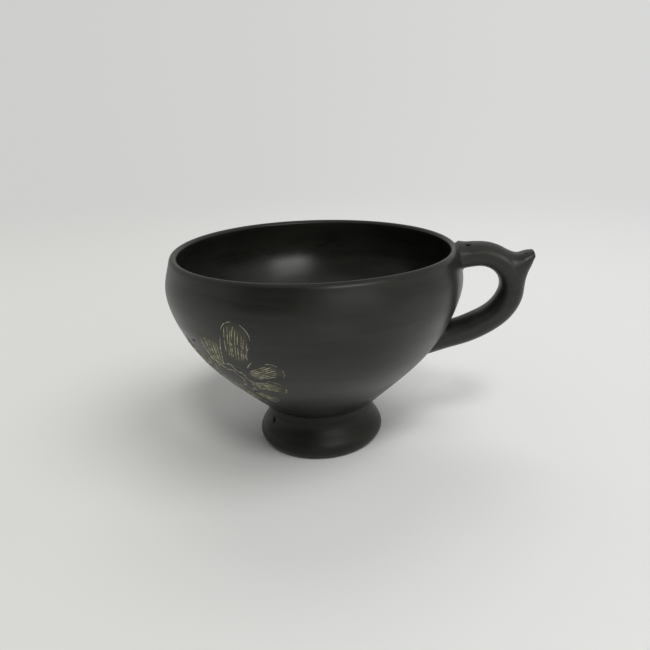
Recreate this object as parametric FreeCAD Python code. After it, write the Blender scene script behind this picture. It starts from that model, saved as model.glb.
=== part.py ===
import FreeCAD, Part
import math
import os

# Footed cup with a ring handle, in millimetres.
# The origin is the middle of the foot's standing plane, +Z is up and the handle lies along +X.

# bowl
cup_height = 81.9
foot_height = 13.5
seat_radius = 19.0
belly_radius = 59.4
belly_drop = 11.4
belly_height = cup_height - belly_drop
belly_wall = 3.6
floor_thickness = 4.8
lip_inset = 3.5
lip_radius = belly_radius - lip_inset
lip_thickness = 3.0
lip_drop = 1.8
lip_lean = 0.4
floor_edge_radius = 15.4
floor_edge_rise = 1.4

# points of the wall from the seat to the belly, as shares of that reach and rise
wall_shares = ((0.40, 0.267), (0.71, 0.50), (0.94, 0.79))

# coil smoothed into the angle between foot and bowl: the foot's neck stands out by its width
coil_width = 2.9
coil_climb = 5.8
coil_hollow = 0.2
neck_radius = seat_radius + coil_width

# foot, which flares from its neck, and the hollow inside its standing ring
waist_flare = 1.3
foot_flare = 3.7
foot_roll_height = 3.9
foot_waist_height = 9.6
foot_radius = neck_radius + foot_flare
stand_inset = 3.4
stand_width = 3.2
hollow_edge = 1.2
hollow_taper = 4.3
foot_stand_radius = foot_radius - stand_inset
hollow_mouth_radius = foot_stand_radius - stand_width - hollow_edge
hollow_top_radius = hollow_mouth_radius - hollow_taper

# ring handle, set out from the bowl: the path of the strap's middle, then the strap's own sizes
handle_stand_off = 19.2
handle_drop = 3.5
handle_span = 35.7
root_sink = 1.4
root_drop = 2.6
lower_root_sink = 8.0
lower_root_drop = 0.9
handle_reach = belly_radius + handle_stand_off
handle_top = cup_height - handle_drop
handle_foot = handle_top - handle_span
top_strap_thickness = 9.6
low_strap_thickness = 10.6
strap_width = 13.2
root_flare_thickness = 3.8
lower_flare_thickness = 2.6
root_flare_width = 3.2
root_flare_length = 5.0
lower_flare_length = 9.5
pad_length = 9.5
lower_pad_length = 14.8

# points of the path between its roots, as shares of the reach past the upper root
# and of the height from the lower root to the top
path_shares = ((0.25, 0.975), (0.52, 1.0), (0.743, 0.947), (0.896, 0.855), (0.983, 0.72),
               (0.985, 0.56), (0.89, 0.41), (0.70, 0.272), (0.45, 0.168), (0.19, 0.09))
section_count = 19

# thumb spur: a tapering horn with a dished top, rising out of the ring's shoulder;
# its ends are set out from the outermost and the highest point of the path
spur_start_inset = 1.6
spur_start_drop = 8.4
spur_tip_overhang = 8.6
spur_tip_rise = 0.3
spur_thickness = 15.6
spur_width = 12.2

# its sections, as shares of the length, the thickness and the width
spur_shares = ((0.0, 1.0, 1.0), (0.26, 0.92, 0.97), (0.49, 0.59, 0.88), (0.70, 0.41, 0.76),
               (0.93, 0.21, 0.50), (1.0, 0.08, 0.24))
scoop_radius = 5.4
scoop_inset = 4.0
scoop_rise = 4.5

# how far a chord of a turned outline may leave its curve
chord_depth = 0.12

overrun = 5.0
origin = FreeCAD.Vector(0, 0, 0)
outward = FreeCAD.Vector(1, 0, 0)
across = FreeCAD.Vector(0, 1, 0)
up = FreeCAD.Vector(0, 0, 1)


def point(radius, height):
    return FreeCAD.Vector(radius, 0, height)


def line(start, end):
    return Part.LineSegment(start, end).toShape()


def arc(start, middle, end):
    return Part.Arc(start, middle, end).toShape()


def curve(points, start_tangent, end_tangent):
    spline = Part.BSplineCurve()
    spline.interpolate(points, InitialTangent=start_tangent, FinalTangent=end_tangent)
    return spline.toShape()


def revolve(edges):
    # turns an outline whose curves are drawn as short chords, so that every turned face is a cone
    chords = []
    for edge in edges:
        ends = edge.discretize(Deflection=chord_depth)
        chords += [line(start, end) for start, end in zip(ends, ends[1:])]
    outline = Part.Wire(Part.__sortEdges__(chords))
    return Part.Face(outline).revolve(origin, up, 360)


def wall_points(start):
    # points of a wall that rises from its start to the belly
    reach = belly_radius - seat_radius
    rise = belly_height - start.z
    return [start + outward * (reach * r) + up * (rise * h) for r, h in wall_shares]


def lip_points():
    outer = point(lip_radius + lip_thickness / 2, cup_height - lip_drop)
    inner = point(lip_radius - lip_thickness / 2, cup_height - lip_drop + lip_lean)
    return outer, point(lip_radius, cup_height), inner


def lip():
    # the rounded lip, which runs on smoothly from both walls
    outer, crown, inner = lip_points()
    rising = outer - point(belly_radius, belly_height)
    falling = point(belly_radius - belly_wall, belly_height) - inner
    return curve([outer, crown, inner], rising, falling)


def outer_wall():
    lip_edge = lip_points()[0]
    seat = point(seat_radius, foot_height)
    middle = wall_points(seat)
    belly = point(belly_radius, belly_height)
    return curve([seat] + middle + [belly, lip_edge], middle[0] - seat, lip_edge - belly)


def inner_wall():
    lip_edge = lip_points()[2]
    floor = point(0, foot_height + floor_thickness)
    edge = point(floor_edge_radius, floor.z + floor_edge_rise)
    middle = wall_points(point(seat_radius - belly_wall, floor.z))
    belly = point(belly_radius - belly_wall, belly_height)
    return curve([floor, edge] + middle + [belly, lip_edge], outward, lip_edge - belly)


def bowl():
    middle = point(0, foot_height)
    floor = point(0, foot_height + floor_thickness)
    seat = line(middle, point(seat_radius, foot_height))
    return revolve([seat, outer_wall(), lip(), inner_wall(), line(floor, middle)])


def bowl_block():
    # the bowl's outside with no hollow, which trims the pieces that are luted to it
    inner = lip_points()[2]
    middle = point(0, foot_height)
    top = point(0, inner.z)
    seat = line(middle, point(seat_radius, foot_height))
    return revolve([seat, outer_wall(), lip(), line(inner, top), line(top, middle)])


def mouth_block():
    # the open mouth and the room above it, which no luted piece reaches into
    height = cup_height - belly_height + overrun
    return Part.makeCylinder(lip_radius, height, point(0, belly_height))


def foot():
    stand = point(foot_stand_radius, 0)
    roll = point(foot_radius, foot_roll_height)
    waist = point(neck_radius + waist_flare, foot_waist_height)
    neck = point(neck_radius, foot_height)
    roof = point(hollow_top_radius, foot_height)
    mouth = point(hollow_mouth_radius, hollow_edge)
    rim = point(hollow_mouth_radius + hollow_edge, 0)
    side = curve([stand, roll, waist, neck], outward, up)
    return revolve([side, line(neck, roof), line(roof, mouth), line(mouth, rim), line(rim, stand)])


def foot_coil(block):
    wall = outer_wall().Curve
    climb = wall.parameterAtDistance(coil_climb, wall.FirstParameter)
    low = point(neck_radius, foot_height)
    high = wall.value(climb)
    middle = (low + high) * 0.5 + (up - outward) * coil_hollow
    core = point(hollow_top_radius, foot_height)
    deep = point(hollow_top_radius, high.z)
    ring = revolve([arc(low, middle, high), line(high, deep), line(deep, core), line(core, low)])
    return largest(ring.cut(block))


def wall_radius(height):
    # radius of the bowl's outer wall at a height
    level = line(point(0, height), point(belly_radius + overrun, height))
    return outer_wall().distToShape(level)[1][0][0].x


def handle_path():
    start = point(lip_radius - root_sink, handle_top - root_drop)
    end = point(wall_radius(handle_foot) - lower_root_sink, handle_foot - lower_root_drop)
    reach = handle_reach - start.x
    middle = [point(start.x + reach * r, handle_foot + handle_span * h) for r, h in path_shares]
    path = Part.BSplineCurve()
    path.interpolate([start] + middle + [end])
    return path


def oval(centre, along, thickness, width):
    # unit circle stretched into an oval at right angles to a direction in the XZ plane
    normal = along.cross(across).normalize() * (thickness / 2)
    side = across * (width / 2)
    stretch = FreeCAD.Matrix(normal.x, side.x, along.x, centre.x,
                             normal.y, side.y, along.y, centre.y,
                             normal.z, side.z, along.z, centre.z,
                             0, 0, 0, 1)
    return Part.Wire(Part.makeCircle(1).transformGeometry(stretch))


def strap_size(distance, whole):
    # the strap thickens towards its foot and swells evenly into both luted roots
    near = min(distance, whole - distance)
    share = distance / whole
    length = root_flare_length + (lower_flare_length - root_flare_length) * share
    swell = math.exp(-(near / length) ** 2)
    flare = root_flare_thickness + (lower_flare_thickness - root_flare_thickness) * share
    thickness = top_strap_thickness + (low_strap_thickness - top_strap_thickness) * share
    return thickness + flare * swell, strap_width + root_flare_width * swell


def strap(path):
    whole = path.length()
    sections = []
    for index in range(section_count):
        distance = whole * index / (section_count - 1)
        at = path.parameterAtDistance(distance, path.FirstParameter)
        sections.append(oval(path.value(at), path.tangent(at)[0], *strap_size(distance, whole)))
    return Part.makeLoft(sections, True, True)


def root_block(path, distance):
    # a block over the root side of a cut across the strap
    at = path.parameterAtDistance(distance, path.FirstParameter)
    rootward = path.tangent(at)[0]
    if distance < path.length() / 2:
        rootward = -rootward
    length = min(distance, path.length() - distance)
    half = (strap_width + root_flare_width) / 2 + overrun
    normal = rootward.cross(across).normalize()
    sides = ((-half, -half), (half, -half), (half, half), (-half, half), (-half, -half))
    corners = [path.value(at) + normal * n + across * a for n, a in sides]
    return Part.Face(Part.makePolygon(corners)).extrude(rootward * (length + overrun))


def spur_tip():
    return point(handle_reach + spur_tip_overhang, handle_top + spur_tip_rise)


def spur_horn():
    start = point(handle_reach - spur_start_inset, handle_top - spur_start_drop)
    run = spur_tip() - start
    sections = [oval(start + run * at, run, spur_thickness * thick, spur_width * wide)
                for at, thick, wide in spur_shares]
    return Part.makeLoft(sections, True, True)


def thumb_spur(loop):
    scoop = Part.makeSphere(scoop_radius, spur_tip() - outward * scoop_inset + up * scoop_rise)
    return largest(spur_horn().cut(loop).cut(scoop))


def largest(shape):
    return max(shape.Solids, key=lambda solid: solid.Volume)


def cup():
    block = bowl_block()
    path = handle_path()
    luted = strap(path).cut(block).cut(mouth_block())
    upper = root_block(path, pad_length)
    lower = root_block(path, path.length() - lower_pad_length)
    loop = largest(luted.cut(upper).cut(lower))
    return {
        "bowl": bowl(),
        "foot": foot(),
        "foot_coil": foot_coil(block),
        "handle_loop": loop,
        "upper_handle_pad": largest(luted.common(upper)),
        "lower_handle_pad": largest(luted.common(lower)),
        "thumb_spur": thumb_spur(loop),
    }


os.makedirs("parts", exist_ok=True)
for name, shape in cup().items():
    print(name, "valid", shape.isValid(), "solids", len(shape.Solids), "mm3", round(shape.Volume))
    shape.exportStep("parts/" + name + ".step")
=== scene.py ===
import math
import bpy
import numpy as np
from mathutils import Matrix


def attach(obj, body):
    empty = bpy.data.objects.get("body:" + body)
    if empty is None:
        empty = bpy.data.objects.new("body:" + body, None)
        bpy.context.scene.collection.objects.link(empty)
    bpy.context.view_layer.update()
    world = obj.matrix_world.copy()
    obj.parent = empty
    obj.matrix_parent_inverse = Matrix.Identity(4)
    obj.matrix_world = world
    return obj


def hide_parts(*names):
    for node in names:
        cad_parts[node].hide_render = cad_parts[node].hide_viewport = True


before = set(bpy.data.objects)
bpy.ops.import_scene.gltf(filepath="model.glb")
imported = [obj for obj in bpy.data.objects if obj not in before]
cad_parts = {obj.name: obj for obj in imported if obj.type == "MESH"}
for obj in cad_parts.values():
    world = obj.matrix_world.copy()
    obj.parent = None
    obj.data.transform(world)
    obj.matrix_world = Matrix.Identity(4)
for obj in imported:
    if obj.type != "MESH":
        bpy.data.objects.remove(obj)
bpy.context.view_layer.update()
print("frame loaded:", ", ".join(sorted(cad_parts)))

mm = 0.001  # the cup's sizes are in millimetres, those of materials and floor in metres
full = 2 * math.pi

# points of the fine polylines that the shapes are read from
lineSteps = {
    "spline": 1600,
    "density": 4000,
    "wall": 3000,
    "overLip": 80,
    "path": 3000,
    "root": 900,
}


# curves and surfaces

def unit(v):
    # each vector divided by its length
    v = np.asarray(v, float)
    return v / np.linalg.norm(v, axis=-1, keepdims=True)


def runOf(curve):
    # length along a polyline at each of its points
    steps = np.linalg.norm(np.diff(curve, axis=0), axis=1)
    return np.concatenate([[0], np.cumsum(steps)])


def evenly(curve, shares):
    # points of a polyline at the given shares of its length
    run = runOf(curve)
    at = np.asarray(shares) * run[-1]
    return np.stack([np.interp(at, run, curve[:, k]) for k in range(curve.shape[1])], -1)


def hermite(start, leave, end, arrive, u):
    # cubic from start to end that leaves and arrives with the given velocities
    return ((2 * u**3 - 3 * u**2 + 1) * start + (u**3 - 2 * u**2 + u) * leave
            + (3 * u**2 - 2 * u**3) * end + (u**3 - u**2) * arrive)


def smoothCurve(points, startAim, endAim, fineness=lineSteps["spline"], pull=1.0):
    # cubic spline through the points: their slopes solve the three-term equations of an even bend,
    # with both end directions given, and a Hermite cubic joins each pair
    p = np.array(points, float)
    gap = np.linalg.norm(np.diff(p, axis=0), axis=1)
    knot = np.concatenate([[0], np.cumsum(gap)])
    n = len(p)
    a, b = np.eye(n), np.zeros_like(p)
    b[0], b[-1] = unit(startAim) * pull, unit(endAim) * pull
    i = np.arange(1, n - 1)
    a[i, i - 1], a[i, i], a[i, i + 1] = gap[1:], 2 * (gap[:-1] + gap[1:]), gap[:-1]
    rise = np.diff(p, axis=0) / gap[:, None]
    b[i] = 3 * (gap[1:, None] * rise[:-1] + gap[:-1, None] * rise[1:])
    slope = np.linalg.solve(a, b)
    t = np.linspace(0, knot[-1], fineness)
    k = np.clip(np.searchsorted(knot, t, side="right") - 1, 0, n - 2)
    u = ((t - knot[k]) / gap[k])[:, None]
    return hermite(p[k], slope[k] * gap[k][:, None], p[k + 1], slope[k + 1] * gap[k][:, None], u)


def crowded(count, low, high, spots, spread, pull):
    # numbers from low to high, closer together round each spot: the inverse of a summed bell density
    t = np.linspace(low, high, lineSteps["density"])
    density = 1 + pull * sum(np.exp(-((t - s) / spread) ** 2) for s in spots)
    run = np.concatenate([[0], np.cumsum((density[1:] + density[:-1]) / 2)])
    return np.interp(np.linspace(0, run[-1], count), run, t)


def turned(profile, angles):
    # a profile of (radius, height) pairs turned about the upright axis
    r, z = profile[:, 0][:, None], profile[:, 1][:, None]
    return np.stack([r * np.cos(angles), r * np.sin(angles), z + 0 * angles], -1)


def rounded(value, squareness):
    # a circle's sine or cosine pushed towards a rounded square's
    return np.sign(value) * np.abs(value) ** (2 / squareness)


def smoothStep(x, low, high):
    # 0 below low, 1 above high and a smooth cubic between them
    t = np.clip((x - low) / (high - low), 0, 1)
    return t * t * (3 - 2 * t)


handMade = {
    "least": 0.02,  # what every radius gives up at the belly
    # slow waves: turns round the cup, depth, phase, and twist with the height
    "waves": ((2, 0.22, 0.7, 0.0), (3, 0.14, 2.1, 0.03), (5, 0.07, 4.0, -0.05)),
    "lipWaves": ((2, 0.30, 5.2, 0.0), (3, 0.16, 1.1, 0.0)),
    "lipFrom": 62.0,
    "lipTo": 82.0,
}


def slowWaves(waves, angle, z):
    # sum of raised cosines, each from 0 to its depth
    return sum(depth * (1 + np.cos(count * angle + phase + twist * z)) / 2
               for count, depth, phase, twist in waves)


def byHand(points):
    # a potter's unevenness on every piece alike: radii shrink in slow waves round and up the cup,
    # and the lip sinks a little in slow waves of its own
    x, y, z = points[..., 0], points[..., 1], points[..., 2]
    angle = np.arctan2(y, x)
    shrink = (handMade["least"] + slowWaves(handMade["waves"], angle, z)) / bowlShape["belly"][0]
    sink = slowWaves(handMade["lipWaves"], angle, z)
    z = z - sink * smoothStep(z, handMade["lipFrom"], handMade["lipTo"])
    return np.stack([x * (1 - shrink), y * (1 - shrink), z], -1)


def dent(points, pit):
    # presses a lens-shaped hollow into the surface: its depth falls off with the cube of the distance
    # from its middle, measured in its own length, width and reach; it also gives how much painted shade
    # darkens each point, by the pit's dark share
    inward = unit(pit["inward"])
    along = unit(np.array(pit["along"]) - inward * np.dot(pit["along"], inward))
    across = np.cross(inward, along)
    off = points - np.array(pit["at"], float)
    a, b, c = off @ along / pit["length"], off @ across / pit["width"], off @ inward / pit["reach"]
    weight = np.exp(-(a**2 + b**2 + c**2) ** 1.5)
    return points + inward * (pit["depth"] * weight)[..., None], weight * pit["dark"]


# meshes and pieces

def gridFaces(rows, cols, ring):
    # four-sided faces of a grid whose rows close on themselves; ring also joins the last row to the first
    r, c = np.meshgrid(np.arange(rows if ring else rows - 1), np.arange(cols), indexing="ij")
    down, right = (r + 1) % rows, (c + 1) % cols
    quads = np.stack([r * cols + c, r * cols + right, down * cols + right, down * cols + c], -1)
    return quads.reshape(-1, 4)


def closedSurface(grids, ring):
    # points and outward faces of closed grids: open ends get a fan round the middle of their row
    points, faces, first = [], [], 0
    for grid in grids:
        rows, cols = grid.shape[:2]
        spots = grid.reshape(-1, 3)
        quads = gridFaces(rows, cols, ring)
        fans = np.zeros((0, 3), int)
        if not ring:
            a = np.arange(cols)
            b = (a + 1) % cols
            low, high = len(spots), len(spots) + 1
            last = (rows - 1) * cols
            spots = np.vstack([spots, grid[0].mean(axis=0), grid[-1].mean(axis=0)])
            lowFan = np.stack([b, a, a * 0 + low], -1)
            highFan = np.stack([a + last, b + last, a * 0 + high], -1)
            fans = np.vstack([lowFan, highFan])
        corners = np.vstack([quads[:, [0, 1, 2]], quads[:, [0, 2, 3]], fans])
        p, q, s = (spots[corners[:, k]] - spots[0] for k in range(3))
        outward = np.einsum("ij,ij->", p, np.cross(q, s)) > 0
        turn = slice(None) if outward else slice(None, None, -1)
        faces += (quads[:, turn] + first).tolist() + (fans[:, turn] + first).tolist()
        points.append(spots)
        first += len(spots)
    return np.vstack(points), faces


def makePiece(name, grids, material, node=None, ring=False, sharp=55, pits=(), tint=None):
    # a mesh of closed grids with its pits pressed in, the potter's unevenness on all of it, and what its
    # material reads: how much painted shade darkens each pit and how scraped the ground
    points, faces = closedSurface(grids, ring)
    # painted shade: how dark each pit is painted, kept for the material as its pit reading
    pitShade = np.zeros(len(points))
    scraped = tint(points) if tint else np.zeros(len(points))
    for pit in pits:
        points, weight = dent(points, pit)
        pitShade = np.maximum(pitShade, weight)
    mesh = bpy.data.meshes.new(name)
    mesh.from_pydata((byHand(points) * mm).tolist(), [], faces)
    mesh.shade_smooth()
    mesh.set_sharp_from_angle(angle=math.radians(sharp))
    for reading, values in (("pit", pitShade), ("scraped", scraped)):
        layer = mesh.attributes.new(reading, "FLOAT", "POINT")
        layer.data.foreach_set("value", values.astype(np.float32))
    mesh.materials.append(material)
    piece = bpy.data.objects.new(name, mesh)
    bpy.context.scene.collection.objects.link(piece)
    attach(piece, "root")
    if node:
        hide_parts(node)
    print("piece", name, len(points), "points")


# shader values

class Wire:
    # one shader socket: arithmetic on it adds Math nodes
    def __init__(self, tree, socket=None):
        self.tree, self.socket = tree, socket

    def node(self, kind, settings=None, inputs=None, output=0):
        # any other node: its settings first, then the values or links of its sockets
        made = self.tree.nodes.new(kind)
        for key, value in (settings or {}).items():
            setattr(made, key, value)
        for key, value in (inputs or {}).items():
            if isinstance(value, Wire):
                self.tree.links.new(value.socket, made.inputs[key])
            else:
                made.inputs[key].default_value = value
        return Wire(self.tree, made.outputs[output])

    def maths(self, operation, *values):
        return self.node("ShaderNodeMath", {"operation": operation}, dict(enumerate(values)))

    def __add__(self, other):
        return self.maths("ADD", self, other)

    def __sub__(self, other):
        return self.maths("SUBTRACT", self, other)

    def __rsub__(self, other):
        return self.maths("SUBTRACT", other, self)

    def __mul__(self, other):
        return self.maths("MULTIPLY", self, other)

    def __truediv__(self, other):
        return self.maths("DIVIDE", self, other)

    def __rtruediv__(self, other):
        return self.maths("DIVIDE", other, self)

    __radd__, __rmul__ = __add__, __mul__

    def spread(self, low, high):
        # 0 below low, 1 above high and smooth between them
        return self.node("ShaderNodeMapRange", {"interpolation_type": "SMOOTHSTEP"},
                         {"Value": self, "From Min": low, "From Max": high})

    def noise(self, scale, detail, roughness, distortion=0.0):
        return self.node("ShaderNodeTexNoise", None, {"Vector": self, "Scale": scale, "Detail": detail,
                                                      "Roughness": roughness, "Distortion": distortion})

    def stretched(self, x, y, z):
        return self.node("ShaderNodeMapping", None, {"Vector": self, "Scale": (x, y, z)})

    def blend(self, low, high):
        # mixes two colours by this value
        return self.node("ShaderNodeMix", {"data_type": "RGBA"}, {"Factor": self, 6: low, 7: high}, 2)

    def part(self, axis):
        return self.node("ShaderNodeSeparateXYZ", None, {0: self}, axis)

    def reading(self, attribute):
        return self.node("ShaderNodeAttribute", {"attribute_name": attribute}, output="Fac")


def newMaterial(name):
    # a material, its shader, and the wire of places on the piece
    material = bpy.data.materials.new(name)
    material.use_nodes = True
    shader = material.node_tree.nodes["Principled BSDF"]
    place = Wire(material.node_tree).node("ShaderNodeTexCoord", output="Object")
    return material, shader, place


def setShader(shader, tree, **values):
    # links each wire to its socket and sets each plain value on it
    for key, value in values.items():
        socket = shader.inputs[key.replace("_", " ")]
        if isinstance(value, Wire):
            tree.links.new(value.socket, socket)
        else:
            socket.default_value = value


clayLook = {
    "dark": (0.0070, 0.0070, 0.0058, 1),
    "light": (0.0200, 0.0197, 0.0160, 1),
    "dust": (0.055, 0.053, 0.042, 1),
    # painted shade: the nearly black colour that the pits take
    "pit": (0.0008, 0.0008, 0.0007, 1),
    "scraped": (0.046, 0.045, 0.028, 1),
    # noises: scale, detail, roughness and distortion
    "clouds": (34.0, 4.0, 0.55, 0.0),
    "strokes": (300.0, 4.0, 0.6, 0.4),
    "broadStrokes": (75.0, 3.0, 0.5, 0.6),
    "specks": (1100.0, 2.0, 0.6, 0.0),
    "patches": (102.0, 3.0, 0.5, 0.0),
    "scrapes": (300.0, 3.0, 0.6, 0.0),
    "waves": (74.8, 2.0, 0.4, 0.0),
    "grain": (2200.0, 2.0, 0.5, 0.0),
    # where each of them starts to count and where it counts in full
    "cloudEdge": (0.34, 0.68),
    "strokeEdge": (0.35, 0.65),
    "broadEdge": (0.30, 0.70),
    "speckEdge": (0.70, 0.78),
    "patchEdge": (0.45, 0.75),
    "pitEdge": (0.12, 0.60),
    # shares in the tone
    "cloudTone": 0.6,
    "strokeTone": 0.4,
    "dustTone": 0.5,
    "scrapedTone": (0.55, 0.90),  # least, and swing with its noise
    # what each adds to the roughness, the first two to either side
    "broadGloss": 0.10,
    "cloudGloss": 0.06,
    "speckGloss": 0.20,
    "pitGloss": 0.50,
    "scrapedGloss": 0.15,
    # depths of the relief
    "strokeDepth": 0.00004,
    "waveDepth": 0.00012,
    "grainDepth": 0.000008,
    "relief": 0.55,
}

# roughness, how the strokes are scaled along each axis, and refractive index
finishes = {
    "bowl clay": (0.33, (0.10, 0.10, 1.0), 1.45),
    "foot clay": (0.42, (0.10, 0.10, 1.0), 1.32),
    "handle clay": (0.37, (1.0, 0.25, 1.0), 1.5),
}


def burnishedClay(name):
    # black clay rubbed with a smooth stone: soft clouds, fine strokes laid along the piece, a few dull
    # specks, painted shade that turns the pits nearly black, duller clay in them, and a paler scraped
    # ground where the flower is cut
    look = clayLook
    roughness, scaling, refraction = finishes[name]
    material, shader, place = newMaterial(name)
    laid = place.stretched(*scaling)
    cloud = place.noise(*look["clouds"]).spread(*look["cloudEdge"])
    rubbed = laid.noise(*look["strokes"])
    broad = laid.noise(*look["broadStrokes"]).spread(*look["broadEdge"])
    specks = place.noise(*look["specks"]).spread(*look["speckEdge"])
    patch = place.noise(*look["patches"]).spread(*look["patchEdge"])
    pit = place.reading("pit").spread(*look["pitEdge"])
    least, swing = look["scrapedTone"]
    scraped = place.reading("scraped") * (least + place.noise(*look["scrapes"]) * swing)
    shade = cloud * look["cloudTone"] + rubbed.spread(*look["strokeEdge"]) * look["strokeTone"]
    tone = shade.blend(look["dark"], look["light"])
    tone = (specks * patch * look["dustTone"]).blend(tone, look["dust"])
    tone = scraped.blend(tone, look["scraped"])
    # painted shade in the pits
    tone = pit.blend(tone, look["pit"])
    gloss = roughness + (broad - 0.5) * look["broadGloss"] + (cloud - 0.5) * look["cloudGloss"]
    gloss = gloss + specks * look["speckGloss"] + pit * look["pitGloss"] + scraped * look["scrapedGloss"]
    height = rubbed * look["strokeDepth"] + place.noise(*look["waves"]) * look["waveDepth"]
    height = height + place.noise(*look["grain"]) * look["grainDepth"]
    bump = place.node("ShaderNodeBump", None, {"Strength": look["relief"], "Distance": 1.0, "Height": height})
    setShader(shader, material.node_tree, Base_Color=tone, Roughness=gloss, Normal=bump, IOR=refraction)
    return material


strokeLook = {
    "pale": (0.47, 0.45, 0.31, 1),
    "worn": (0.14, 0.13, 0.085, 1),
    "grain": (700.0, 4.0, 0.6),
    "edge": (0.36, 0.62),
    "roughness": 0.7,
    "relief": 0.3,
    "depth": 0.0001,
}


def cutClay():
    # bare clay in the cut lines, paler and duller than the burnished skin and broken by worn places
    look = strokeLook
    material, shader, place = newMaterial("cut clay")
    grain = place.noise(*look["grain"])
    tone = grain.spread(*look["edge"]).blend(look["worn"], look["pale"])
    relief = {"Strength": look["relief"], "Distance": look["depth"], "Height": grain}
    bump = place.node("ShaderNodeBump", None, relief)
    setShader(shader, material.node_tree, Base_Color=tone, Roughness=look["roughness"], Normal=bump)
    return material


bowlClay, footClay, handleClay = (burnishedClay(name) for name in finishes)
flowerClay = cutClay()
print("clay mixed")


# bowl

bowlShape = {
    "seat": (19.0, 13.5),
    "belly": (59.4, 70.5),
    "wallShares": ((0.40, 0.267), (0.71, 0.50), (0.94, 0.79)),  # of the reach and rise from seat to belly
    "wall": 3.6,
    "floor": 4.8,
    "floorEdge": (15.4, 1.4),
    "lipRadius": 55.9,
    "lipThickness": 3.0,
    "height": 81.9,
    "lipDrop": 1.8,
    "lipLean": 0.4,
    "overLip": 0.72,  # share of the lip that the outside's curve takes in
    "pole": 0.3,
    "columns": 360,
    "rows": {"seat": 12, "outside": 120, "lip": 26, "inside": 78},
    # reach and strength of the closer lines round each pit
    "columnCrowding": (0.035, 3.0),
    "rowCrowding": (0.02, 3.0),
    # pits pressed into the wall; dark is how much painted shade darkens each
    "pits": (
        {"at": (-40.7, -39.2, 55.8), "inward": (0.66, 0.63, 0.42), "along": (0.70, -0.71, 0.1),
         "length": 1.0, "width": 0.42, "reach": 1.6, "depth": 0.55, "dark": 1},
        {"at": (-19.2, -37.8, 35.2), "inward": (0.34, 0.67, 0.66), "along": (0.89, -0.45, -0.1),
         "length": 0.9, "width": 0.45, "reach": 1.6, "depth": 0.55, "dark": 1},
    ),
}


def wallPoints(start):
    # points of a wall that rises from its start to the belly; both walls share one reach
    reach = bowlShape["belly"][0] - bowlShape["seat"][0]
    rise = bowlShape["belly"][1] - start[1]
    return [(start[0] + reach * r, start[1] + rise * h) for r, h in bowlShape["wallShares"]]


def bowlProfile():
    # outer wall, lip and inner wall, from the seat over the lip to the floor's middle
    s = bowlShape
    seat, belly = np.array(s["seat"]), np.array(s["belly"])
    innerBelly = belly - (s["wall"], 0)
    half = s["lipThickness"] / 2
    outer = np.array([s["lipRadius"] + half, s["height"] - s["lipDrop"]])
    inner = np.array([s["lipRadius"] - half, outer[1] + s["lipLean"]])
    crown = (s["lipRadius"], s["height"])
    middle = wallPoints(seat)
    outside = smoothCurve([seat] + middle + [belly, outer], np.array(middle[0]) - seat, outer - belly)
    lip = smoothCurve([outer, crown, inner], outer - belly, innerBelly - inner)
    floor = np.array([s["pole"], seat[1] + s["floor"]])
    edge = (s["floorEdge"][0], floor[1] + s["floorEdge"][1])
    within = wallPoints((seat[0] - s["wall"], floor[1]))
    inside = smoothCurve([floor, edge] + within + [innerBelly, inner], (1, 0), inner - innerBelly)
    return outside, lip, inside[::-1]


outside, lip, inside = bowlProfile()

# the bowl's outside as one curve from the seat over the lip's crown
overLip = evenly(lip, np.linspace(0, bowlShape["overLip"], lineSteps["overLip"]))
wallCurve = evenly(np.vstack([outside, overLip[1:]]), np.linspace(0, 1, lineSteps["wall"]))
wallRun = runOf(wallCurve)
wallSlope = unit(np.gradient(wallCurve, axis=0))
crownSpot = int(np.argmax(wallCurve[:, 1]))
wallRise = wallCurve[:crownSpot]


def onWall(angle, along, lift=0.0):
    # the point of the bowl's outside at an angle and at a length up the wall, stood off it by lift
    r, z, tr, tz = (np.interp(along, wallRun, column) for column in (*wallCurve.T, *wallSlope.T))
    r, z = r + tz * lift, z - tr * lift
    return np.stack([r * np.cos(angle), r * np.sin(angle), z + 0 * angle], -1)


def wallAt(height):
    # length up the wall at a height
    return np.interp(height, wallRise[:, 1], wallRun[:crownSpot])


def radiusAt(height):
    # the wall's radius at a height
    return np.interp(height, wallRise[:, 1], wallRise[:, 0])


def radiusAlong(along):
    # the wall's radius at a length up the wall
    return np.interp(along, wallRun, wallCurve[:, 0])


# the cut flower lies on the wall unrolled: x runs round the bowl and y up the wall, from its centre

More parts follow.
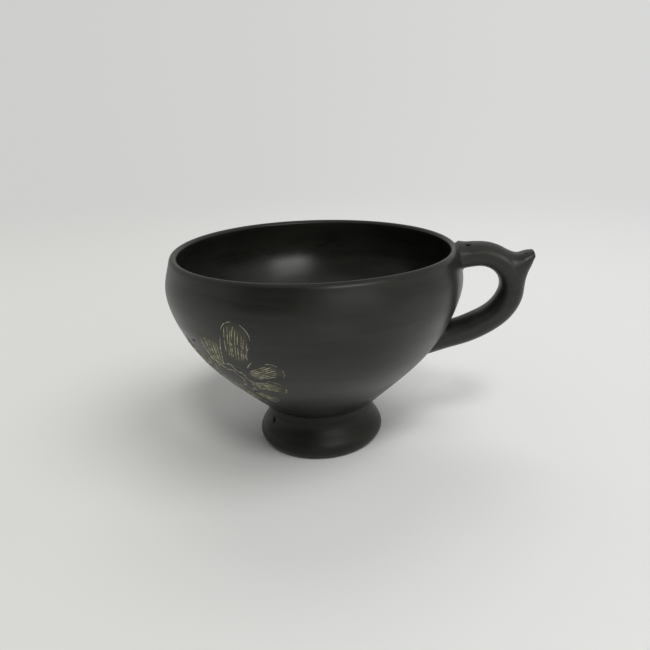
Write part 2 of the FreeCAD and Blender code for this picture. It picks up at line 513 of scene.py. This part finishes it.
flower = {
    "angle": math.radians(-125),
    "height": 42.5,
    # petals: base, tip, widths at both, number of cuts, and how much longer those on its left are
    "petals": (
        ((10.2, 12.3), (15.6, 28.6), 8.6, 10.0, 9, 0.10),
        ((-1.5, 6.0), (0.3, 22.6), 4.5, 14.5, 11, -0.05),
        ((11.6, 3.9), (25.8, 9.9), 4.0, 6.8, 7, 0.0),
        ((8.2, -3.0), (21.6, -1.8), 4.6, 7.6, 8, 0.0),
        ((5.4, -9.4), (11.2, -16.0), 3.6, 5.6, 5, 0.0),
        ((-8.5, 3.0), (-22.0, 13.0), 4.0, 11.0, 8, 0.0),
        ((-8.5, -2.5), (-24.0, -4.5), 5.0, 10.0, 8, 0.0),
        ((-5.5, -7.5), (-16.0, -18.0), 4.0, 9.0, 7, 0.0),
        ((0.3, -9.5), (-1.5, -22.0), 4.0, 8.0, 6, 0.0),
    ),
    # a petal's cuts, as shares of its half width and of its length
    "side": 0.90,
    "sideSwing": 0.04,
    "nearBend": 0.10,
    "nearSwing": 0.08,
    "far": 0.90,
    "farBend": 0.16,
    "farSwing": 0.10,
    "lean": 0.18,
    "bow": 0.14,
    "broken": 0.35,  # share of the cuts that have a gap
    "gapAt": (0.35, 0.65),
    "gapHalf": 0.04,
    "cutPoints": 18,
    # arcs round a petal's tip: first and last angle, and width against length
    "arcs": ((-1.7, -0.4), (0.15, 1.5)),
    "arcWide": 1.1,
    "plain": 1,  # the petal without arcs
    # rings of the eye: inner and outer radius, corners, and share of their sides that is cut
    "rings": ((5.9, 7.3, 18, 0.9), (8.8, 10.4, 22, 0.5)),
    "ringSwing": (0.05, 0.3),  # of a corner's angle and radius
    "ringPoints": 8,
    # lone cuts from one angle and height to another, and last a short pale line low beside the neck, drawn
    # the same way
    "loose": (((-111.1, 49.9), (-108.4, 52.7)), ((-110.2, 54.3), (-107.4, 59.2)),
              ((-117.6, 62.5), (-123.2, 48.1)), ((-32.2, 18.9), (-29.6, 21.9))),
    "loosePoints": 12,
    # widths of petal cuts, arcs and ring cuts, and the swing of all
    "width": 0.40,
    "arcWidth": 0.22,
    "ringWidth": 0.62,
    "widthSwing": (0.7, 1.15),
    "taper": (0.12, 0.45),  # a cut's width at its ends, and how suddenly it widens
    # a cut's section: place across its width, and how far it stands proud
    "section": ((-0.5, -0.03), (-0.3, 1.0), (0.0, 1.3), (0.3, 1.0), (0.5, -0.03), (0.0, -1.0)),
    "proud": 0.05,
    # scraped ground: middle along the petal, fading edge, and how deep under the wall it fades
    "groundMiddle": 0.45,
    "groundEdge": (0.6, 1.25),
    "groundDepth": (1.5, 0.5),
    "sharp": 80,
    "seed": 11,
}


def petalFrame(petal):
    # base, length and unit vectors along and across a petal
    base, tip = np.array(petal[0]), np.array(petal[1])
    along = unit(tip - base)
    return base, np.linalg.norm(tip - base), along, np.array([along[1], -along[0]])


def petalCuts(petal, chance):
    # cuts that run the petal's length and fan with it, shorter near its sides, and two arcs round its tip
    f = flower
    baseWidth, tipWidth, count, slant = petal[2:]
    base, length, along, across = petalFrame(petal)
    side = np.linspace(-1, 1, count) * f["side"] + chance.normal(0, f["sideSwing"], count)
    nearShares = f["nearBend"] * side**2 + chance.uniform(0, f["nearSwing"], count)
    farShares = f["far"] - f["farBend"] * side**2 - slant * side - chance.uniform(0, f["farSwing"], count)
    near, far = length * nearShares, length * farShares
    lean, bow = chance.normal(0, f["lean"], count), chance.normal(0, f["bow"], count)
    t = np.linspace(0, 1, f["cutPoints"])
    cuts, arcs = [], []
    for k in range(count):
        gap = chance.uniform(*f["gapAt"])
        broken = chance.random() < f["broken"]
        pieces = [(0, gap - f["gapHalf"]), (gap + f["gapHalf"], 1)] if broken else [(0, 1)]
        for low, high in pieces:
            u = (low + (high - low) * t)[:, None]
            run = near[k] + (far[k] - near[k]) * u
            half = (baseWidth + (tipWidth - baseWidth) * run / length) / 2
            aside = side[k] * half + lean[k] * (u - 0.5) + bow[k] * 4 * u * (1 - u)
            cuts.append(base + along * run + across * aside)
    reach = tipWidth / 2
    for low, high in f["arcs"]:
        angle = (low + (high - low) * t)[:, None]
        run = length - reach + reach * np.cos(angle)
        arcs.append(base + along * run + across * (reach * f["arcWide"] * np.sin(angle)))
    return cuts, arcs


def ringCuts(ring, chance):
    # the flower's eye: short straight cuts that zigzag between two radii, with gaps
    inner, outer, count, share = ring
    angleSwing, radiusSwing = flower["ringSwing"]
    angle = np.linspace(0, full, count, endpoint=False) + chance.normal(0, angleSwing, count)
    radius = np.where(np.arange(count) % 2, inner, outer) + chance.normal(0, radiusSwing, count)
    corners = np.stack([np.sin(angle), np.cos(angle)], -1) * radius[:, None]
    t = np.linspace(0, 1, flower["ringPoints"])[:, None]
    kept = [k for k in range(count) if chance.random() < share]
    return [corners[k] * (1 - t) + np.roll(corners, -1, axis=0)[k] * t for k in kept]


def onFlower(spots, lift):
    # places of the unrolled flower put on the wall: x becomes an angle by the wall's radius there
    along = wallAt(flower["height"]) + spots[..., 1]
    return onWall(flower["angle"] + spots[..., 0] / radiusAlong(along), along, lift)


def ribbon(line, width):
    # a cut drawn as a closed ribbon: a low mound across it, drawn in to points at both ends
    t = np.linspace(0, 1, len(line))
    aim = unit(np.gradient(line, axis=0))
    across = np.stack([aim[:, 1], -aim[:, 0]], -1)
    least, power = flower["taper"]
    taper = least + (1 - least) * np.sin(math.pi * t) ** power
    offset, lift = np.array(flower["section"]).T
    spots = line[:, None] + across[:, None] * (offset * width * taper[:, None])[..., None]
    return onFlower(spots, lift * flower["proud"])


def flowerGround(points):
    # how much each point of the bowl is scraped: inside the petals, fading at their edges
    radius = np.hypot(points[:, 0], points[:, 1])
    turn = (np.arctan2(points[:, 1], points[:, 0]) - flower["angle"] + math.pi) % full - math.pi
    spot = np.stack([turn * radius, wallAt(points[:, 2]) - wallAt(flower["height"])], -1)
    wall = radiusAt(points[:, 2])
    deep, shallow = flower["groundDepth"]
    skin = smoothStep(radius, wall - deep, wall - shallow)
    most = np.zeros(len(points))
    for petal in flower["petals"]:
        base, length, along, across = petalFrame(petal)
        run = (spot - base) @ along / length
        half = (petal[2] + (petal[3] - petal[2]) * np.clip(run, 0, 1)) / 2
        a, b = (run - flower["groundMiddle"]) * 2, (spot - base) @ across / half
        most = np.maximum(most, 1 - smoothStep(np.sqrt(a**4 + b**4), *flower["groundEdge"]))
    return most * skin * (points[:, 2] > bowlShape["seat"][1])


def anglesRound(shape):
    # angles once round a piece, closer together at its pits
    spots = [math.atan2(pit["at"][1], pit["at"][0]) % full for pit in shape["pits"]]
    return crowded(shape["columns"] + 1, 0, full, spots, *shape["columnCrowding"])[:-1]


def makeBowl():
    # the profile turned once round, its lines closer together at the pits
    s = bowlShape
    rows = s["rows"]
    shares = np.linspace(0, 1, len(outside))
    heights = [np.interp(p["at"][2], outside[:, 1], shares) for p in s["pits"]]
    profile = np.vstack([
        np.linspace((s["pole"], s["seat"][1]), s["seat"], rows["seat"])[:-1],
        evenly(outside, crowded(rows["outside"], 0, 1, heights, *s["rowCrowding"])),
        evenly(lip, np.linspace(0, 1, rows["lip"]))[1:],
        evenly(inside, np.linspace(0, 1, rows["inside"]))[1:],
    ])
    shell = turned(profile, anglesRound(s))
    makePiece("bowl_shell", [shell], bowlClay, "bowl", pits=s["pits"], tint=flowerGround)


def cutFlower():
    # every cut and arc of the flower in one piece
    chance = np.random.default_rng(flower["seed"])
    lines, arcs, eye = [], [], []
    for index, petal in enumerate(flower["petals"]):
        cuts, tipArcs = petalCuts(petal, chance)
        lines += cuts
        arcs += tipArcs if index != flower["plain"] else []
    for ring in flower["rings"]:
        eye += ringCuts(ring, chance)
    for start, end in flower["loose"]:
        angle, height = np.linspace(start, end, flower["loosePoints"]).T
        along = wallAt(height)
        turn = np.radians(angle) - flower["angle"]
        lines.append(np.stack([turn * radiusAlong(along), along - wallAt(flower["height"])], -1))
    kinds = ((lines, "width"), (arcs, "arcWidth"), (eye, "ringWidth"))
    widths = np.concatenate([np.full(len(group), flower[key]) for group, key in kinds])
    widths = widths * chance.uniform(*flower["widthSwing"], len(widths))
    grids = [ribbon(line, width) for line, width in zip(lines + arcs + eye, widths)]
    makePiece("cut_flower", grids, flowerClay, sharp=flower["sharp"])


makeBowl()
cutFlower()


# foot and the coil that joins it to the bowl

footShape = {
    "stand": (22.2, 0.0),
    "roll": (25.6, 3.9),
    "waist": (23.2, 9.6),
    "neck": (21.9, 13.5),
    "roof": (13.5, 13.45),
    "mouth": (17.8, 1.2),
    "rim": (19.0, 0.0),
    "coilClimb": 5.8,
    "coilTuck": 1.2,
    "coilSink": 0.2,
    "coilCore": 20.0,
    "coilLean": -0.12,
    "columns": 360,
    "columnCrowding": (0.12, 3.0),  # reach and strength of the closer lines round the pit
    "rows": {"side": 76, "roof": 6, "hollow": 20, "mouth": 10, "rim": 6, "coil": 44},
    "rowCrowding": ((0.8,), 0.12, 1.5),  # place, reach and strength
    # a pit pressed into the foot; dark is how much painted shade darkens it
    "pits": (
        {"at": (-18.9, -13.6, 11.6), "inward": (0.8, 0.58, 0.1), "along": (0.35, -0.45, -0.8),
         "length": 1.35, "width": 0.8, "reach": 2.0, "depth": 1.1, "dark": 1},
    ),
}


def footProfile():
    # the standing ring's flare up to the neck, then the hollow down to the ring's inner edge
    s = footShape
    rows = s["rows"]
    side = smoothCurve([s["stand"], s["roll"], s["waist"], s["neck"]], (1, 0), (0, 1))
    return np.vstack([
        evenly(side, crowded(rows["side"], 0, 1, *s["rowCrowding"])),
        np.linspace(s["neck"], s["roof"], rows["roof"])[1:],
        np.linspace(s["roof"], s["mouth"], rows["hollow"])[1:],
        smoothCurve([s["mouth"], s["rim"]], np.array(s["mouth"]) - s["roof"], (1, 0), rows["mouth"])[1:],
        np.linspace(s["rim"], s["stand"], rows["rim"])[1:-1],
    ])


def coilProfile():
    # leaves the foot's side, runs up to the bowl's wall and ends along it, a touch under both surfaces
    s = footShape
    wall = onWall(0, np.array([s["coilClimb"], s["coilClimb"] + s["coilTuck"]]))[:, [0, 2]]
    tuck = np.array([s["neck"][0] - s["coilSink"], s["neck"][1] - s["coilTuck"]])
    end = wall[1] - (s["coilSink"], -s["coilSink"])
    face = smoothCurve([tuck, s["neck"], wall[0], end], (s["coilLean"], 1), wall[1] - wall[0])
    core = s["coilCore"]
    back = [(end[0] - s["coilTuck"], end[1]), (core, s["neck"][1] + s["coilTuck"]), (core, tuck[1])]
    return np.vstack([evenly(face, np.linspace(0, 1, s["rows"]["coil"])), back])


def makeFoot():
    # both profiles turned once round
    angles, pits = anglesRound(footShape), footShape["pits"]
    foot, coil = turned(footProfile(), angles), turned(coilProfile(), angles)
    makePiece("foot_ring", [foot], footClay, "foot", ring=True, pits=pits)
    makePiece("foot_joint_coil", [coil], footClay, "foot_coil", ring=True)


makeFoot()


# ring handle

handleShape = {
    "root": (54.5, 77.7),
    "end": (40.2, 41.8),
    "low": 42.7,
    "top": 78.4,
    "reach": 79.2,
    # of the reach past the upper root and of the height from low to top
    "pathShares": ((0.25, 0.987), (0.52, 0.995), (0.743, 0.947), (0.896, 0.855), (0.983, 0.72),
                   (0.985, 0.56), (0.89, 0.41), (0.70, 0.272), (0.45, 0.168), (0.19, 0.09)),
    "thickness": (9.6, 10.6),  # at the upper root and at the lower one, as the next two
    "flareThickness": (2.2, 2.6),
    "flareLength": (4.0, 9.5),
    "width": 13.2,
    "flareWidth": 3.2,
    "squareness": 2.4,
    "sway": (0.12, 0.36, 0.10, 0.29),  # hand-formed swelling: depth and pace of thickness, then of width
    "padLengths": (9.5, 14.8),
    "columns": 168,
    "rows": 210,
    "sharp": 70,
    # pits pressed into the strap's top; dark is how much painted shade darkens each
    "pits": (
        {"at": (61.1, -3.2, 82.4), "inward": (0.0, 0.25, -1.0), "along": (1.0, 0.1, 0.0),
         "length": 1.15, "width": 0.75, "reach": 2.0, "depth": 0.7, "dark": 1},
        {"at": (62.9, 1.2, 83.0), "inward": (0.0, 0.0, -1.0), "along": (1.0, 0.0, 0.0),
         "length": 0.9, "width": 0.9, "reach": 2.0, "depth": 0.6, "dark": 1},
    ),
}


def handlePath():
    # the strap's middle line: a smooth curve from the upper root round to the lower one
    h = handleShape
    start, end = np.array(h["root"]), np.array(h["end"])
    reach, rise = h["reach"] - start[0], h["top"] - h["low"]
    middle = [(start[0] + reach * r, h["low"] + rise * z) for r, z in h["pathShares"]]
    leave, arrive = np.array(middle[0]) - start, end - np.array(middle[-1])
    curve = smoothCurve([start] + middle + [end], leave, arrive, lineSteps["path"])
    return evenly(curve, np.linspace(0, 1, lineSteps["path"]))


path = handlePath()
pathRun = runOf(path)
pathLength = pathRun[-1]
pathAim = unit(np.gradient(path, axis=0))


def onStrap(along, turn):
    # the strap's surface: an oval, a touch squared, carried along the path; turn 0 is its outer side
    h = handleShape
    x, z, ax, az = (np.interp(along, pathRun, column) for column in (*path.T, *pathAim.T))
    share = along / pathLength
    thickness, flare, length = (h[key][0] + (h[key][1] - h[key][0]) * share
                                for key in ("thickness", "flareThickness", "flareLength"))
    swell = np.exp(-(np.minimum(along, pathLength - along) / length) ** 2)
    depth, pace, wideDepth, widePace = h["sway"]
    thick = thickness + flare * swell + depth * np.sin(pace * along)
    wide = h["width"] + h["flareWidth"] * swell + wideDepth * np.sin(widePace * along)
    out = rounded(np.cos(turn), h["squareness"]) * thick / 2
    side = rounded(np.sin(turn), h["squareness"]) * wide / 2
    return np.stack([x - az * out, side, z + ax * out], -1)


rootShape = {
    "lipLevel": 81.0,  # above this height a line lands on the lip instead of the wall
    "upperFillet": (1.0, 1.3),  # at the strap's outer side and at its inner side
    "lowerFillet": (1.8, 1.4),
    "pull": 1.15,
    "tuck": 0.7,
    "nudge": 0.1,  # short step along a line that shows its direction
    "rows": (44, 16),
}
turns = np.linspace(0, full, handleShape["columns"], endpoint=False)


def luted(start, finish, fillet):
    # a root: each line follows the strap until it nears the bowl, turns in a small fillet and lands on
    # the wall, heading away from the root's middle; the last row tucks in under the wall
    r = rootShape
    run = np.linspace(start, finish, lineSteps["root"])[:, None]
    strap = onStrap(run, turns)
    wallRadius = radiusAt(np.minimum(strap[..., 2], r["lipLevel"]))
    first = np.argmax(np.hypot(strap[..., 0], strap[..., 1]) < wallRadius, axis=0)
    met = strap[first, np.arange(len(turns))]
    along = wallAt(np.minimum(met[:, 2], r["lipLevel"]))
    radius = radiusAlong(along)
    across = np.arctan2(met[:, 1], met[:, 0]) * radius
    away = unit(np.stack([across, along - along.mean()], -1))
    bend = fillet[0] + (fillet[1] - fillet[0]) * (1 - np.cos(turns)) / 2
    back = math.copysign(1, start - finish)
    near = run[first, 0] + back * bend

    def landed(reach, lift=0.0):
        return onWall((across + away[:, 0] * reach) / radius, along + away[:, 1] * reach, lift)

    edge = onStrap(near, turns)
    leave = unit(onStrap(near - back * r["nudge"], turns) - edge)
    end = landed(bend)
    arrive = unit(landed(bend + r["nudge"]) - end)
    span = r["pull"] * np.linalg.norm(end - edge, axis=1)[:, None]
    straightRows, bendRows = r["rows"]
    straight = onStrap(start + (near - start) * np.linspace(0, 1, straightRows)[:, None], turns)
    u = np.linspace(0, 1, bendRows)[1:, None, None]
    corner = hermite(edge, leave * span, end, arrive * span, u)
    return np.concatenate([straight, corner, landed(bend - r["tuck"] / 2, -r["tuck"])[None]])


def makeHandle():
    # the strap between its roots, and each root from its end of the strap to the bowl
    upperPad, lowerPad = handleShape["padLengths"]
    sharp, pits = handleShape["sharp"], handleShape["pits"]
    upperCut, lowerCut = upperPad, pathLength - lowerPad
    along = np.linspace(upperCut, lowerCut, handleShape["rows"])[:, None]
    upper = luted(upperCut, 0, rootShape["upperFillet"])
    lower = luted(lowerCut, pathLength, rootShape["lowerFillet"])
    makePiece("handle_ring", [onStrap(along, turns)], handleClay, "handle_loop", sharp=sharp, pits=pits)
    makePiece("upper_root", [upper], handleClay, "upper_handle_pad", sharp=sharp, pits=pits)
    makePiece("lower_root", [lower], handleClay, "lower_handle_pad", sharp=sharp)


makeHandle()

spurShape = {
    "middle": 26.2,  # length along the strap where its root is centred, and half of what it spans
    "half": 7.8,
    "halfTurn": math.radians(72),
    "sink": 0.04,
    "nearer": 0.94,  # a smaller outline of the root that shows which way each line leaves
    "pull": 0.9,
    # sections out to the tip: upper edge, lower edge and half width
    "sections": (
        ((80.5, 78.8), (85.3, 70.4), 5.4),
        ((83.5, 79.5), (86.7, 73.6), 4.6),
        ((87.0, 79.7), (87.7, 76.4), 3.4),
    ),
    "squareness": 2.3,
    "tipRound": 0.55,
    "tipClose": 0.49,  # half turns of the tip's quarter ellipse, which a fan closes
    "rows": (90, 16),
    "sharp": 75,
    # dents in the spur; dark is how much painted shade darkens each: none in the dish, half in the dimple
    "dents": (
        {"at": (82.2, 0.2, 79.2), "inward": (0.2, 0.0, -1.0), "along": (1, 0, 0.15),
         "length": 2.5, "width": 3.2, "reach": 2.4, "depth": 0.6, "dark": 0},
        {"at": (83.9, -2.9, 78.4), "inward": (0.0, 0.5, -0.85), "along": (1, 0, 0.3),
         "length": 0.7, "width": 0.6, "reach": 1.2, "depth": 0.3, "dark": 0.5},
    ),
}


def thumbSpur():
    # a horn drawn out of the strap's outer side: each line leaves the strap along its surface, passes
    # three ovals as a smooth curve, and a quarter ellipse closes the tip
    p = spurShape
    cos, sin = np.cos(turns), np.sin(turns)
    swing, wide = rounded(cos, p["squareness"]), rounded(sin, p["squareness"])
    ring = onStrap(p["middle"] - p["half"] * cos, p["halfTurn"] * sin)
    nearer = onStrap(p["middle"] - p["nearer"] * p["half"] * cos, p["nearer"] * p["halfTurn"] * sin)
    rows = [ring - (p["sink"], 0, 0)]
    for upper, lower, halfWidth in p["sections"]:
        upper, lower = np.array(upper), np.array(lower)
        middle, half = (upper + lower) / 2, (upper - lower) / 2
        oval = (middle[0] + half[0] * swing, halfWidth * wide, middle[1] + half[1] * swing)
        rows.append(np.stack(oval, -1))
    aim = unit((half[1], 0, -half[0]))
    first = np.linalg.norm(rows[1] - rows[0], axis=1)[:, None]
    leave = unit(nearer - ring) * first
    flat = np.array([row.ravel() for row in rows])
    bodyRows, capRows = p["rows"]
    body = smoothCurve(flat, leave.ravel(), flat[-1] - flat[-2], bodyRows, p["pull"])
    body = body.reshape(bodyRows, -1, 3)
    centre = rows[-1].mean(axis=0)
    w = np.linspace(0, p["tipClose"] * math.pi, capRows)[1:, None, None]
    cap = centre + (rows[-1] - centre) * np.cos(w) + aim * p["tipRound"] * np.sin(w)
    return np.concatenate([body, cap])


makePiece("thumb_rest", [thumbSpur()], handleClay, "thumb_spur",
          sharp=spurShape["sharp"], pits=spurShape["dents"])
print("cup shaped")


# camera, floor and light

camera = bpy.data.objects.new("camera", bpy.data.cameras.new("camera"))
bpy.context.scene.collection.objects.link(camera)
bpy.context.scene.camera = camera

view = {
    "place": (32.5, -264.9, 142.1),
    "yaw": -2.73,
    "pitch": 14.08,
    "roll": -1.05,
    "focalPixels": 678.78,
    "centrePixels": (365, 260),
    "imagePixels": 650,
    "sensor": 36.0,
    "clip": (0.01, 100),
}


def aimCamera():
    # its axes from yaw, pitch and roll, then its lens from the focal length and centre in pixels
    yaw, pitch, roll = (math.radians(view[k]) for k in ("yaw", "pitch", "roll"))
    ahead = np.array([math.sin(yaw) * math.cos(pitch), math.cos(yaw) * math.cos(pitch), -math.sin(pitch)])
    right = np.array([math.cos(yaw), -math.sin(yaw), 0])
    above = np.cross(right, ahead)
    across = right * math.cos(roll) + above * math.sin(roll)
    above = above * math.cos(roll) - right * math.sin(roll)
    matrix = np.eye(4)
    matrix[:3, 0], matrix[:3, 1], matrix[:3, 2] = across, above, -ahead
    matrix[:3, 3] = np.array(view["place"]) * mm
    camera.matrix_world = Matrix(matrix.tolist())
    lens = camera.data
    size, middle = view["imagePixels"], view["imagePixels"] / 2
    lens.sensor_width = view["sensor"]
    lens.lens = view["focalPixels"] / size * view["sensor"]
    lens.shift_x = (middle - view["centrePixels"][0]) / size
    lens.shift_y = (view["centrePixels"][1] - middle) / size
    lens.clip_start, lens.clip_end = view["clip"]


aimCamera()

studio = {
    "floorRadius": 30.0,
    "floorSides": 96,
    "floorRoughness": 0.75,
    "floorSpecular": 0.1,
    "fade": (0.22, 0.75),  # distances over which the floor turns into the backdrop
    # painted shade: floor and backdrop are coloured darker to the left than to the right
    "floor": ((0.74, 0.74, 0.72, 1), (0.84, 0.84, 0.83, 1)),  # left and right, as the backdrop
    "backdrop": ((0.62, 0.62, 0.605, 1), (0.69, 0.69, 0.685, 1)),
    # where the painted shade's change from left to right runs
    "leftShadeSweep": (-0.55, 0.35),
    "sweepMiddle": 0.1,  # softens the change from left to right near the cup
    "ambient": 0.28,
    "gloss": (0.50, 0.50, 0.49, 1),
    "glossLeft": (0.36, 0.36, 0.35, 1),
    "leftSide": (0.15, 0.85),
    "shade": (0.05, 0.05, 0.047, 1),
    "shadeSide": (0.25, 0.80),
    "shadeTop": (0.40, 0.80),
    # a tall softbox: its direction round the cup and half widths in degrees, and its heights
    "box": {
        "turn": -57,
        "half": (12, 24),
        "bottom": (0.24, 0.34),
        "top": (0.46, 0.58),
        "colour": (5.5, 5.5, 5.4, 1),
    },
    "lamps": (
        {"name": "key", "towards": (36, -18, 60), "strength": 1.15, "angle": 36, "colour": (1.0, 1.0, 1.0)},
        {"name": "front", "towards": (9, -42, 60), "strength": 0.80, "angle": 14, "colour": (1.0, 1.0, 0.98)},
        {"name": "back", "towards": (-5, 45, 60), "strength": 0.55, "angle": 40, "colour": (1.0, 0.99, 0.96)},
    ),
}


def makeFloor():
    # a flat disc about the origin, painted darker to the left as shade, whose far part fades into the
    # backdrop's colour
    angles = np.linspace(0, full, studio["floorSides"], endpoint=False)
    rim = np.stack([np.cos(angles), np.sin(angles), 0 * angles], -1) * studio["floorRadius"]
    mesh = bpy.data.meshes.new("floor")
    mesh.from_pydata(rim.tolist(), [], [list(range(len(rim)))])
    floor = bpy.data.objects.new("floor", mesh)
    bpy.context.scene.collection.objects.link(floor)
    material, shader, place = newMaterial("pale floor")
    tree = material.node_tree
    away = place.node("ShaderNodeVectorMath", {"operation": "LENGTH"}, {0: place}, "Value")
    # painted shade: the floor and its glow darken towards the left
    leftShadeSweep = (place.part("X") / (away + studio["sweepMiddle"])).spread(*studio["leftShadeSweep"])
    setShader(shader, tree, Base_Color=leftShadeSweep.blend(*studio["floor"]), Roughness=studio["floorRoughness"],
              Specular_IOR_Level=studio["floorSpecular"])
    glow = place.node("ShaderNodeEmission", None, {"Color": leftShadeSweep.blend(*studio["backdrop"])}, "Emission")
    lit = Wire(tree, shader.outputs["BSDF"])
    share = away.spread(*studio["fade"])
    mixed = place.node("ShaderNodeMixShader", None, {0: share, 1: lit, 2: glow}, "Shader")
    tree.links.new(mixed.socket, tree.nodes["Material Output"].inputs["Surface"])
    mesh.materials.append(material)


def hangLamps():
    # broad suns, left out of reflections, which see the studio's softbox instead
    for lamp in studio["lamps"]:
        sun = bpy.data.lights.new(lamp["name"], "SUN")
        sun.energy, sun.angle, sun.color = lamp["strength"], math.radians(lamp["angle"]), lamp["colour"]
        holder = bpy.data.objects.new(lamp["name"], sun)
        bpy.context.scene.collection.objects.link(holder)
        holder.visible_glossy = False
        x, y, z = unit(lamp["towards"])
        holder.rotation_euler = (math.acos(z), 0, math.atan2(y, x) + math.pi / 2)


def surround():
    # the world: a pale backdrop for the camera, painted darker to the left as shade, a dim even glow for
    # plain light, and for reflections a pale room that is darker to the left and low in front and holds one
    # tall softbox
    world = bpy.data.worlds.new("studio")
    bpy.context.scene.world = world
    world.use_nodes = True
    tree = world.node_tree
    ray = Wire(tree)
    seen = ray.node("ShaderNodeLightPath", output="Is Camera Ray")
    mirrored = ray.node("ShaderNodeLightPath", output="Is Glossy Ray")
    way = ray.node("ShaderNodeTexCoord", output="Generated")
    front = (way.part("Y") * -1).spread(*studio["shadeSide"])
    low = 1 - way.part("Z").spread(*studio["shadeTop"])
    left = (way.part("X") * -1).spread(*studio["leftSide"])
    around = (front * low).blend(left.blend(studio["gloss"], studio["glossLeft"]), studio["shade"])
    box = studio["box"]
    turn = ray.maths("ARCTAN2", way.part("Y"), way.part("X"))
    aside = ray.maths("ABSOLUTE", turn - math.radians(box["turn"]))
    inner, outer = (math.radians(a) for a in box["half"])
    facing = (1 - aside.spread(inner, outer)) * way.part("Z").spread(*box["bottom"])
    around = (facing * (1 - way.part("Z").spread(*box["top"]))).blend(around, box["colour"])
    plain = (studio["ambient"],) * 3 + (1,)
    # painted shade: the backdrop darkens towards the left
    backdrop = way.part("X").spread(*studio["leftShadeSweep"]).blend(*studio["backdrop"])
    colour = seen.blend(mirrored.blend(plain, around), backdrop)
    tree.links.new(colour.socket, tree.nodes["Background"].inputs["Color"])


makeFloor()
hangLamps()
surround()
bpy.context.scene.view_settings.view_transform = "Standard"
print("studio lit")
